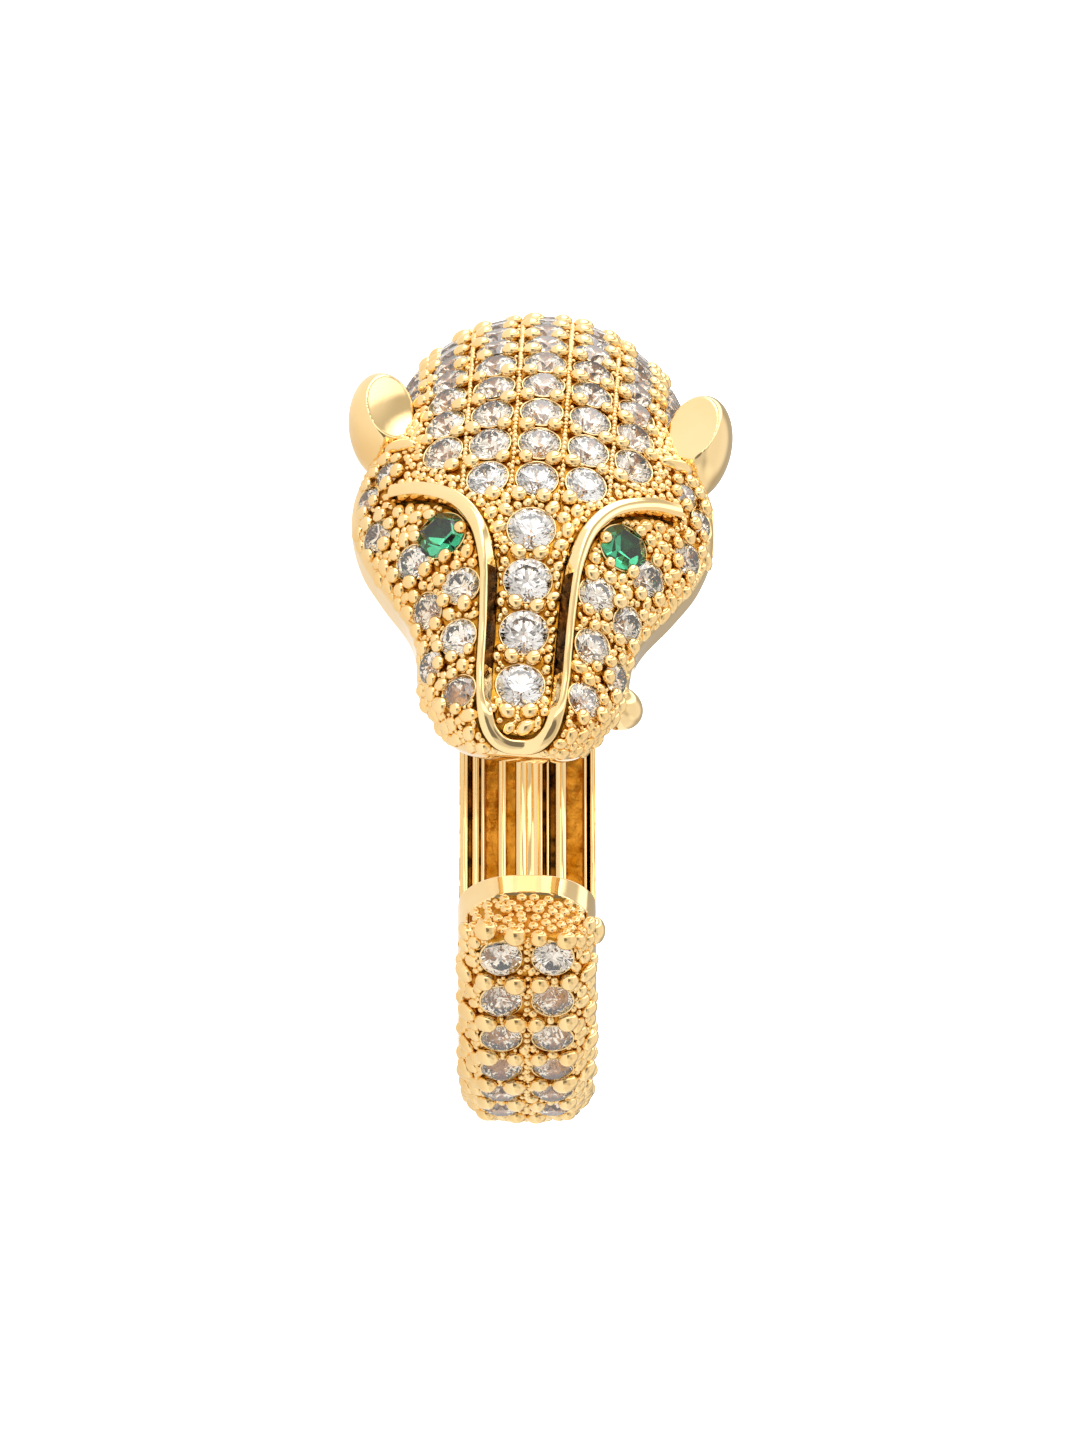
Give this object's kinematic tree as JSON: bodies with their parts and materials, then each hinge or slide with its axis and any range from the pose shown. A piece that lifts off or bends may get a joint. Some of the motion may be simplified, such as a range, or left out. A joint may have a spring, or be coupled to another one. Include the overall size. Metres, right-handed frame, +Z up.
{
  "type": "leopard head open ring",
  "caption": "Open finger ring in gold-plated brass: a stone-set big cat's head with green eyes at one end, a stone-set tail end at the other.",
  "frame": {"origin": "bottom centre of the bounding box, on the surface that the ring lies on", "axes": "The ring lies on its side. +Z is up and close to the finger's axis, which leans 9.2 degrees; -Y is the side of the opening, where the cat's face and the tail end are; -X is the side of the head's crown"},
  "size_m": [0.024, 0.0248, 0.0113],
  "materials": {
    "gold_plated_brass": "polished yellow gold plate",
    "white_stone": "round brilliant-cut white cubic zirconia",
    "green_stone": "round brilliant-cut emerald-green stone"
  },
  "bodies": {
    "root": {"ring_body": "gold_plated_brass", "crown_pave": "gold_plated_brass", "eye_left": "green_stone", "cheek_left_1": "white_stone", "cheek_left_2": "white_stone", "cheek_left_3": "white_stone", "cheek_left_4": "white_stone", "cheek_left_5": "white_stone", "cheek_left_6": "white_stone", "cheek_left_7": "white_stone", "cheek_left_8": "white_stone", "cheek_left_9": "white_stone", "tail_left_1": "white_stone", "tail_left_2": "white_stone", "tail_left_3": "white_stone", "tail_left_4": "white_stone", "tail_left_5": "white_stone", "tail_left_6": "white_stone", "eye_right": "green_stone", "cheek_right_1": "white_stone", "cheek_right_2": "white_stone", "cheek_right_3": "white_stone", "cheek_right_4": "white_stone", "cheek_right_5": "white_stone", "cheek_right_6": "white_stone", "cheek_right_7": "white_stone", "cheek_right_8": "white_stone", "cheek_right_9": "white_stone", "tail_right_1": "white_stone", "tail_right_2": "white_stone", "tail_right_3": "white_stone", "tail_right_4": "white_stone", "tail_right_5": "white_stone", "tail_right_6": "white_stone", "nose_stone_1": "white_stone", "nose_stone_2": "white_stone", "nose_stone_3": "white_stone", "nose_stone_4": "white_stone", "brow_stone_1": "white_stone", "brow_stone_2": "white_stone", "brow_stone_3": "white_stone"}
  },
  "joints": []
}
